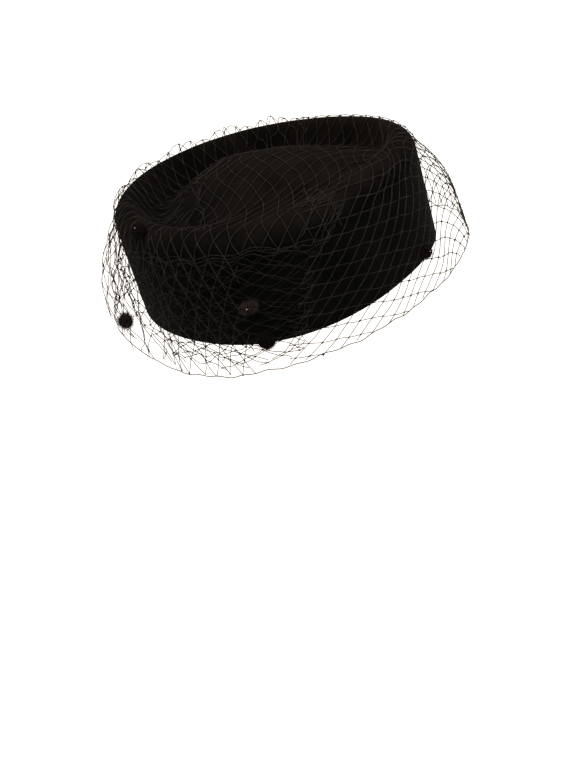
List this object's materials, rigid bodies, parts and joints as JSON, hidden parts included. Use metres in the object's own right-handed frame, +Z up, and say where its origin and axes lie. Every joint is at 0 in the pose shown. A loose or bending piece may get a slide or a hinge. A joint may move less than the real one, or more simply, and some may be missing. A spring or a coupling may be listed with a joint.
{
  "type": "pillbox hat",
  "caption": "Felt pillbox hat with a rounded tip in a trench, under a draped diamond-mesh veil with chenille dots and gathered ends.",
  "frame": {"origin": "middle of the opening where the head goes in, in the plane of the felt's lower edge", "axes": "+Z up through the tip, -Y the way the wearer faces, -X the wearer's right"},
  "size_m": [0.2573, 0.2766, 0.1018],
  "materials": {
    "wool_felt": "matt with a short nap",
    "veiling": "satin thread",
    "chenille": "fuzzy"
  },
  "bodies": {
    "root": {"felt_hat": "wool_felt", "veil_net": "veiling", "veil_gather": "veiling", "chenille_dot_1": "chenille", "chenille_dot_2": "chenille", "chenille_dot_3": "chenille", "chenille_dot_4": "chenille", "chenille_dot_5": "chenille"}
  },
  "joints": []
}
